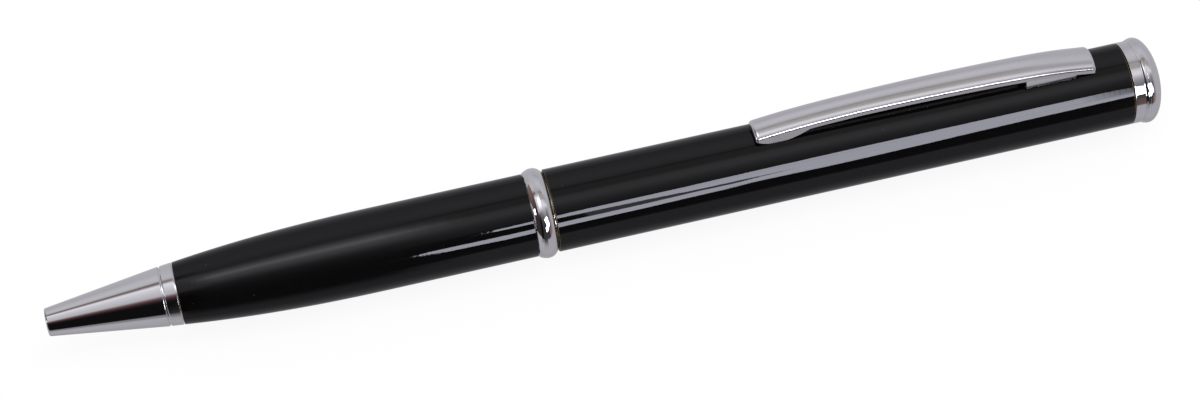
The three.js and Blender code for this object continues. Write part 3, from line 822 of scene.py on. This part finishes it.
def blade():
    """Single-edged blade with ground bevels, a straight spine and a curved belly."""
    front, point = span("blade")
    heel_gap, heel, grind, point_length = 0.1, 2.9, 1.6, 14
    half, thin, spine, tang, bevel, chamfer, tip_height = 0.55, 0.03, 3.4, 3.1, 2.5, 0.08, 0.1
    spine_drop, belly_curve, point_thinning = 0.25, 0.985, 0.8
    heel_front = span("blade_carrier")[1] + heel_gap
    point_front = point - point_length
    grind_front = heel_front + heel
    grind_rear = grind_front + grind
    stations = [front, heel_front - heel_gap, heel_front, grind_front]
    for start, length, steps in ((grind_front, grind, 8), (grind_rear, point_front - grind_rear, 12)):
        stations += [start + length * k / steps for k in range(1, steps + 1)]
    steps, quarter = 28, math.pi / 2
    stations += [point_front + point_length * math.sin(quarter * k / steps) for k in range(1, steps + 1)]
    rows = []
    for station in stations:
        tall = tang if station < heel_front else spine
        share = max(0.0, (station - point_front) / point_length)
        top = tall * (1 - spine_drop * share ** 2)
        belly = 1 - math.sqrt(max(0.0, 1 - belly_curve * share ** 2))
        bottom = -tall + (top - tip_height + tall) * belly
        ground = min(1.0, max(0.0, (station - grind_front) / grind))
        ground = ground * ground * (3 - 2 * ground)
        edge = half + (thin - half) * ground
        below = top - chamfer
        shoulder = min(bottom + bevel, below)
        flat = half - (half - thin) * max(0.0, 1 - (top - bottom) / bevel) * point_thinning
        side = [(flat - chamfer, top), (flat, below), (flat, shoulder), (edge, bottom)]
        rows.append([(station, y, z) for y, z in side] + [(station, -y, z) for y, z in reversed(side)])
    vertices = [v for row in rows for v in row]
    faces = closed_tube(len(rows), len(rows[0]))
    mesh = finished_mesh("knife_blade", vertices, faces, slots=("blade_steel",), angle=7.0)
    piece_of(mesh, "knife", "blade")


def carrier_cutter(rear):
    """A block where the blade's slot runs into the rear of the carrier."""
    half, depth, beyond, tall = 0.61, 6.2, 1, 6
    mesh = bpy.data.meshes.new("carrier_slot")
    work = bmesh.new()
    bmesh.ops.create_cube(work, size=1)
    for vertex in work.verts:
        station = rear - depth if vertex.co.x < 0 else rear + beyond
        side, height = math.copysign(half, vertex.co.y), math.copysign(tall, vertex.co.z)
        vertex.co = to_row((station, side, height))
    work.to_mesh(mesh)
    work.free()
    return link_object("carrier_slot", mesh)


def cut_away(blank, cutter):
    """The blank's mesh without the cutter's room. Both objects are used up."""
    modifier = blank.modifiers.new("slot", "BOOLEAN")
    modifier.object = cutter
    modifier.operation = "DIFFERENCE"
    modifier.solver = "EXACT"
    evaluated = blank.evaluated_get(bpy.context.evaluated_depsgraph_get())
    shaped = bpy.data.meshes.new_from_object(evaluated)
    for used in (blank, cutter):
        bpy.data.objects.remove(used)
    return shaped


def blade_carrier():
    """Turned stud, seat and split spigot, with the blade's slot cut through it."""
    front, rear = span("blade_carrier")
    seat = span("centre_ring")[0] - 0.05
    ring_rear = span("centre_ring")[1]
    groove, stud, spigot = ring_rear + 1.6, 3.02, 4.2
    groove_floor, groove_rear = spigot - 0.5, groove + 1
    mesh = turned("carrier_blank", [
        (front, 0),
        (front, stud, 0.12),
        (seat, stud),
        (seat, spigot),
        (groove, spigot, 0.06),
        (groove, groove_floor, 0.05),
        (groove_rear, groove_floor, 0.05),
        (groove_rear, spigot, 0.06),
        (rear, spigot, 0.24),
        (rear, 0),
    ], ("nickel",), MEDIUM, closed=False)
    shaped = cut_away(link_object("carrier_blank", mesh), carrier_cutter(rear))
    shaped.name = "knife_carrier"
    sharpen(shaped, angle=25)
    piece_of(shaped, "knife", "blade_carrier")


def grip_ring():
    front, rear = span("grip_ring")
    middle, wire, radius, sides = (front + rear) / 2, 0.27, 3.97, 20
    section = []
    for angle in even_angles(sides):
        section.append((middle - wire * math.cos(angle), radius + wire * math.sin(angle)))
    turned_piece("seal_ring", "grip_ring", "knife", "rubber", section, MEDIUM)


def blade_pin(node):
    """Steel pin across the carrier with domed ends."""
    front, rear = span(node)
    middle, radius, half, count = (front + rear) / 2, 0.5, 4.1, 32
    outline = [(-half, 0.38), (-half + 0.06, 0.46), (-half + 0.16, radius)]
    outline += [(-y, r) for y, r in reversed(outline)]
    vertices = []
    for y, r in outline:
        vertices.extend((middle + r * math.cos(a), y, r * math.sin(a)) for a in even_angles(count))
    faces = [[face[0], *face[:0:-1]] for face in closed_tube(len(outline), count)]
    mesh = finished_mesh(node + "_steel", vertices, faces, slots=("steel",))
    piece_of(mesh, "knife", node)


def refill_ball():
    front, rear = span("refill_ball")
    middle, radius, steps = (front + rear) / 2, (rear - front) / 2, 16
    outline = []
    for k in range(steps + 1):
        angle = math.pi * k / steps
        outline.append((middle - radius * math.cos(angle), radius * math.sin(angle)))
    turned_piece("ball", "refill_ball", "refill", "steel", outline, COARSE // 2, closed=False)


def refill_tip():
    """Brass writing tip: a fine cone with a step, on a shank in the tube."""
    front, rear = span("refill_tip")
    socket, rim, tip, shank = 0.38, 0.06, 1.15, 0.9
    floor = front + 0.3
    shank_front = span("refill_tube")[0] - 0.1
    turned_piece("writing_tip", "refill_tip", "refill", "brass", [
        (floor, 0),
        (floor, socket),
        (front, socket),
        (front, socket + rim, 0.03),
        (front + 1.2, 0.68),
        (front + 1.35, 0.8, 0.03),
        (front + 3.4, tip, 0.05),
        (shank_front, tip, 0.04),
        (shank_front, shank),
        (rear, shank),
        (rear, 0),
    ], COARSE, closed=False)


def refill_tube():
    """Metal tube with a crimp that holds the tip's shank."""
    front, rear = span("refill_tube")
    bore, outer, crimp, crimped, half = 0.955, 1.175, front + 1.6, 1.1, 0.2
    turned_piece("refill_pipe", "refill_tube", "refill", "nickel", [
        (front, bore),
        (front, outer, 0.05),
        (crimp - half, outer, 0.1),
        (crimp, crimped, 0.1),
        (crimp + half, outer, 0.1),
        (rear, outer, 0.05),
        (rear, bore),
    ], COARSE)


def refill_collar():
    front, rear = span("refill_collar")
    bore, outer = 1.225, 1.7
    turned_piece("spring_seat", "refill_collar", "refill", "brass", [
        (front, bore),
        (front, outer, 0.15),
        (rear, outer, 0.15),
        (rear, bore),
    ], COARSE)


def return_spring():
    """Wire spring with closed ends, built at one length; the real spring shortens as the refill moves out.
    """
    front, rear = span("return_spring")
    radius, wire, turns, around, sides = 1.47, 0.14, 11.0, 28, 10
    closed_turns, open_rate = 0.9, 5.2
    count = int(turns * around)

    def from_end(turn):
        """How far the wire gets in some turns from an end: slowly in the closed coil."""
        return turn if turn < closed_turns else closed_turns + (turn - closed_turns) * open_rate

    full = 2 * from_end(turns / 2)
    usable = (rear - front) - 2 * wire
    path = []
    for k in range(count + 1):
        turn = turns * k / count
        angle = 2 * math.pi * turn
        share = from_end(turn) / full if turn <= turns / 2 else 1 - from_end(turns - turn) / full
        station = front + wire + usable * share
        path.append(Vector((station, radius * math.cos(angle), radius * math.sin(angle))))
    vertices = []
    for k, point in enumerate(path):
        along = (path[min(k + 1, count)] - path[max(k - 1, 0)]).normalized()
        outward = Vector((0, point.y, point.z)).normalized()
        outward = (outward - along * outward.dot(along)).normalized()
        side = along.cross(outward)
        for angle in even_angles(sides):
            vertices.append(point + wire * (math.cos(angle) * outward + math.sin(angle) * side))
    faces = closed_tube(count + 1, sides)
    mesh = finished_mesh("spring_wire", vertices, faces, slots=("steel",), angle=50)
    piece = link_object("spring_wire", mesh)
    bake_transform(piece)
    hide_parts("return_spring")


def carry_over():
    """Procedural finishes for the CAD nodes that stay."""
    slots = {row["node"]: row["material_slot"] for row in frame["record"]["subparts"]}
    for name, node in frame["nodes"].items():
        node.data.materials.clear()
        node.data.materials.append(FINISH[slots[name]])


def build_pen():
    carry_over()
    nose_cone()
    front_bush()
    lower_barrel()
    centre_ring()
    upper_barrel()
    cap_liner()
    finial_band()
    finial_cap()
    pocket_clip()
    blade()
    blade_carrier()
    grip_ring()
    blade_pin("blade_pin_1")
    blade_pin("blade_pin_2")
    refill_ball()
    refill_tip()
    refill_tube()
    refill_collar()
    return_spring()


# The light tent, in metres, and the tint of its cloth.
TENT_RADIUS = 0.3
TENT_ENDS = (-0.6, 0.75)
CLOTH = (1.01, 0.99, 1.06)
END_CLOTH = (0.5, 0.49, 0.52)

# The strip lamps on the tent.
LAMP = (0.86, 0.86, 1.0)
LAMP_STRENGTH = 12.5
LAMP_GAP = 0.002


def tent_point(x, degrees, radius=TENT_RADIUS):
    """A point on the tent: x along the pen, and an angle about its axis from -Y upwards."""
    angle = math.radians(degrees)
    return Vector((x, -radius * math.cos(angle), AXIS_Z + radius * math.sin(angle)))


def stage_sheet(name, vertices, faces, material):
    """A plain sheet of the studio."""
    mesh = bpy.data.meshes.new(name)
    mesh.from_pydata(vertices, [], faces)
    mesh.materials.append(material)
    sheet = link_object(name, mesh)
    return sheet


def reflected_only(sheet):
    """Seen in reflections only, so it lights nothing and hides nothing."""
    for flag in ("visible_camera", "visible_diffuse", "visible_shadow", "visible_volume_scatter"):
        setattr(sheet, flag, False)


def glow(name, colour=(1, 1, 1), strength=1.0):
    """The node helper of an emission material, and the input of its colour."""
    m = material_nodes(name)
    m.tree.nodes.remove(m.shader)
    emission = m.add("ShaderNodeEmission", {"Color": colour, "Strength": strength})
    m.show(emission.outputs["Emission"])
    return m, emission.inputs["Color"]


def angle_stops(table):
    """Ramp stops from (degrees, level) rows; the ramp runs from -180 to 180 degrees."""
    stops = []
    for degrees, level in table:
        level = level if isinstance(level, tuple) else (level, level, level)
        stops.append(((degrees + 180) / 360, tuple(share * tint for share, tint in zip(level, CLOTH))))
    return stops


# What the pen reflects, by angle about its axis: 0 is straight ahead of it, 90 overhead, -90 below.
# Rows of (degrees, level) at places along the tent; each level is a grey or a colour.
BELOW = ((-180, 0.52), (-165, 0.54), (-140, 0.45), (-100, 0.4), (-75, 0.47))
NEAR_NOSE = BELOW + (
    (-60, 0.5), (-46, 0.48), (-41, 0.3), (-33, 0.25), (-29, 0.006), (20, 0.006), (28, (0.03, 0.014, 0.016)),
    (36, (0.1, 0.055, 0.055)), (42, (0.24, 0.165, 0.165)), (46, 0.45), (50, 0.58), (60, 0.64), (70, 0.72),
    (78, 0.78), (85, 0.93), (89, 0.8), (93, (0.48, 0.43, 0.42)), (96, (0.26, 0.22, 0.19)),
    (99, (0.17, 0.14, 0.11)), (103, (0.26, 0.22, 0.19)), (106, 0.45), (109, 0.58), (123, 0.63), (136, 0.58),
    (152, 0.5), (180, 0.52),
)
NEAR_TAPER = BELOW + (
    (-54, 0.42), (-45, 0.3), (-36, 0.12), (-30, 0.05), (0, 0.04), (15, 0.06), (25, 0.09), (34, 0.16),
    (43, 0.28), (52, 0.7), (57, 1.1), (64, 1.5), (72, 2.6), (80, 1.5), (87, 0.8), (92, 0.48), (97, 0.42),
    (103, 0.5), (120, 0.58), (150, 0.55), (180, 0.52),
)
NEAR_CLIP = BELOW + (
    (-45, 0.47), (-31, 0.45), (-27.5, (0.1, 0.07, 0.06)), (-24, (0.06, 0.045, 0.05)), (0, 0.04), (25, 0.05),
    (30, 0.24), (39, 0.33), (48, 0.5), (56, 0.75), (62, 0.9), (72, (0.82, 0.82, 0.76)),
    (79, (0.44, 0.43, 0.39)), (92, (0.41, 0.4, 0.37)), (97, (0.27, 0.25, 0.23)), (102, 0.48), (112, 0.6),
    (123, 0.64), (136, 0.58), (150, 0.5), (153, 0.43), (157, 0.5), (180, 0.5),
)
NEAR_END = BELOW + (
    (-30, 0.45), (-27, (0.3, 0.21, 0.16)), (-12, (0.28, 0.19, 0.14)), (-6, 0.12), (28, 0.15), (34, 0.2),
    (43, 0.26), (52, 0.4), (62, 0.85), (72, 0.65), (82, 0.4), (92, 0.46), (103, 0.6), (120, 0.58),
    (140, 0.52), (180, 0.5),
)
FAR_END = ((-180, 0.5), (-100, 0.46), (0, 0.42), (100, 0.55), (180, 0.5))
SIDE_DARK = (
    (-180, 0.5), (-30, 0.5), (-25, (0.04, 0.028, 0.032)), (50, (0.05, 0.032, 0.032)),
    (100, (0.16, 0.105, 0.085)), (143, (0.26, 0.18, 0.15)), (147, 0.5), (180, 0.5),
)
# Where each table takes over from the one before it, in millimetres along the pen. SIDE_DARK is the first.
TENT_PLAN = (
    (NEAR_NOSE, (-215, -195)), (NEAR_TAPER, (-124, -108)), (NEAR_CLIP, (-20, 0)), (NEAR_END, (140, 170)),
    (FAR_END, (260, 520)),
)


def tent_material():
    """Cloth that glows by angle about the pen and by place along it."""
    m, glow_colour = glow("tent_cloth")
    place = m.add("ShaderNodeSeparateXYZ", {"Vector": m.place}).outputs
    height = m.maths("SUBTRACT", place["Z"], AXIS_Z)
    towards = m.maths("MULTIPLY", place["Y"], -1.0)
    angle = m.to_range(m.maths("ARCTAN2", height, towards), -math.pi, math.pi)
    colour = m.ramp(angle, angle_stops(SIDE_DARK))
    for table, (start, end) in TENT_PLAN:
        along = m.to_range(place["X"], start * MM, end * MM)
        colour = m.mix(along, colour, m.ramp(angle, angle_stops(table)))
    m.fill(glow_colour, colour)
    m.owner.cycles.emission_sampling = "NONE"
    return m.owner


def tent():
    """A closed tube of cloth round the pen."""
    columns = 96
    vertices = [tent_point(x, 360 * k / columns - 180) for x in TENT_ENDS for k in range(columns)]
    ends = [list(range(columns)), list(range(columns, 2 * columns))]
    reflected_only(stage_sheet("tent", vertices, grid_faces(2, columns), tent_material()))
    end_material = glow("tent_end_cloth", END_CLOTH)[0].owner
    reflected_only(stage_sheet("tent_ends", vertices, ends, end_material))


# Edges of the strip lamp in front, as (x in millimetres, degrees). It is in two parts up to LAMP_JOIN.
LAMP_JOIN = 72
UPPER_TOP = ((4, 24.5), (25, 27), (46, 27), (63, 28.6), (85, 29.5), (141, 29.5), (150, 26), (210, 26))
UPPER_BOTTOM = ((4, 20.4), (25, 18.2), (32, 17.3), (43, 15.2), (48, 13.1), (64, 12), (72, 11))
LOWER_TOP = ((-12, 3), (-10, 4.7), (10, 3.5), (22, 5.5), (36, 5.5), (50, 7.7), (58, 7), (64, 10), (72, 11.2))
LOWER_BOTTOM = (
    (-12, 1), (-10, -1.3), (-7, -5), (8, -8.5), (22, -6.3), (36, -6.3), (47, -4.7), (57, -3.4), (62, -1),
    (77, -2.8), (86, -2.8), (103, -0.9), (112, 0.7), (125, 2.2), (146, 3.3), (210, 4),
)


def along_table(table, x):
    """Straight-line reading of a short table."""
    for (x0, y0), (x1, y1) in zip(table, table[1:]):
        if x <= x1:
            return y0 + (y1 - y0) * max(0.0, (x - x0) / (x1 - x0))
    return table[-1][1]


def lamp_material(name, strength):
    """Lamp light with slight streaks along the pen, dimmer at its top towards the right end."""
    m, glow_colour = glow(name, strength=strength)
    place = m.add("ShaderNodeSeparateXYZ", {"Vector": m.place}).outputs
    streaks = m.to_range(m.noise((10, 420, 420)), 0.3, 0.7, 0.78, 1.16)
    rise = m.to_range(place["Z"], AXIS_Z + 0.045, AXIS_Z + 0.135)
    towards_end = m.to_range(place["X"], 0.135, 0.152, 0.0, 0.94)
    fading = m.maths("SUBTRACT", 1.0, m.maths("POWER", m.maths("SUBTRACT", 1.0, rise), 2.5))
    dim = m.maths("SUBTRACT", 1.0, m.maths("MULTIPLY", fading, towards_end))
    m.fill(glow_colour, m.mix(m.maths("MULTIPLY", streaks, dim), (0, 0, 0), LAMP))
    return m.owner


def strip(name, start, end, top, bottom, strength=LAMP_STRENGTH, gap=LAMP_GAP):
    """A glowing strip on the tent between two edges."""
    count, across = 90, 6
    vertices = []
    for k in range(count + 1):
        x = start + (end - start) * k / count
        low, high = along_table(bottom, x), along_table(top, x)
        for j in range(across + 1):
            vertices.append(tent_point(x * MM, low + (high - low) * j / across, TENT_RADIUS - gap))
    faces = grid_faces(count + 1, across + 1, wrap=False)
    reflected_only(stage_sheet(name, vertices, faces, lamp_material(name + "_light", strength)))


def studio():
    tent()
    side_start, side_end = -560, -380
    strip("lamp_upper", 4, LAMP_JOIN, UPPER_TOP, UPPER_BOTTOM)
    strip("lamp_lower", -12, LAMP_JOIN, LOWER_TOP, LOWER_BOTTOM)
    strip("lamp_end", LAMP_JOIN, 205, UPPER_TOP, LOWER_BOTTOM)
    strip("lamp_glow", 25, LAMP_JOIN, UPPER_BOTTOM, LOWER_TOP, strength=1.2, gap=LAMP_GAP / 2)
    side_edges = [((side_start, degrees), (side_end, degrees)) for degrees in (62, 40)]
    strip("lamp_side", side_start, side_end, *side_edges, strength=6.0)
    floor()
    world()
    soft_lamp()


def seen_directly(m):
    """One for rays from the camera and for those that metal and glass send on."""
    path = m.add("ShaderNodeLightPath").outputs
    sent_on = m.maths("MAXIMUM", path["Is Glossy Ray"], path["Is Transmission Ray"])
    return m.maths("MAXIMUM", path["Is Camera Ray"], sent_on)


def floor():
    """A pale sheet that shows white and keeps the pen's shadow."""
    size, own_white = 2.5, 0.92
    corners = [(x * size, y * size, 0) for x, y in ((-1, -1), (1, -1), (1, 1), (-1, 1))]
    m = material_nodes("floor_paper")
    paper = m.mix(m.noise(40), (0.86, 0.86, 0.86), (0.9, 0.9, 0.9))
    m.set(Base_Color=paper, Roughness=0.9, Specular_IOR_Level=0.0)
    white = m.add("ShaderNodeEmission").outputs["Emission"]
    share = m.maths("MULTIPLY", seen_directly(m), own_white)
    blend = m.add("ShaderNodeMixShader", {0: share, 1: m.shader.outputs["BSDF"], 2: white})
    m.show(blend.outputs["Shader"])
    stage_sheet("floor", corners, [[0, 1, 2, 3]], m.owner).visible_glossy = False


def world():
    """White behind the pen, and an even soft light on it."""
    white, soft = (1, 1, 1), 0.75
    bpy.context.scene.world = bpy.data.worlds.new("studio")
    m = Nodes(bpy.context.scene.world)
    m.tree.nodes.clear()
    light = m.add("ShaderNodeBackground", {"Color": white, "Strength": soft}).outputs["Background"]
    backdrop = m.add("ShaderNodeBackground", {"Color": white}).outputs["Background"]
    blend = m.add("ShaderNodeMixShader", {0: seen_directly(m), 1: light, 2: backdrop})
    m.add("ShaderNodeOutputWorld", {"Surface": blend.outputs["Shader"]})


def soft_lamp():
    """A wide lamp overhead that gives the floor its soft shadow."""
    lamp = bpy.data.lights.new("soft_lamp", "AREA")
    lamp.shape = "RECTANGLE"
    lamp.size, lamp.size_y = 0.8, 0.5
    lamp.energy = 3.0
    holder = link_object("soft_lamp", lamp)
    holder.location = (0.1, -0.15, 0.7)
    holder.rotation_euler = (-holder.location).to_track_quat("-Z", "Y").to_euler()
    holder.visible_glossy = False


def camera():
    """The photograph's view."""
    data = bpy.data.cameras.new("camera")
    data.sensor_fit = "HORIZONTAL"
    data.sensor_width = 36.0
    data.lens = 94.96
    data.clip_start = 0.01
    data.clip_end = 20.0
    holder = link_object("camera", data)
    place = Vector((-0.041755, -0.28069, 0.26582 + AXIS_Z))
    back = Vector((-0.1037, -0.7220, 0.6841)).normalized()
    up = Vector((0.2156, 0.6551, 0.7241))
    up = (up - back * up.dot(back)).normalized()
    turn = Matrix((up.cross(back), up, back)).transposed().to_4x4()
    holder.matrix_world = Matrix.Translation(place) @ turn
    bpy.context.scene.camera = holder


bpy.context.scene.view_settings.view_transform = "Standard"
build_pen()
studio()
camera()
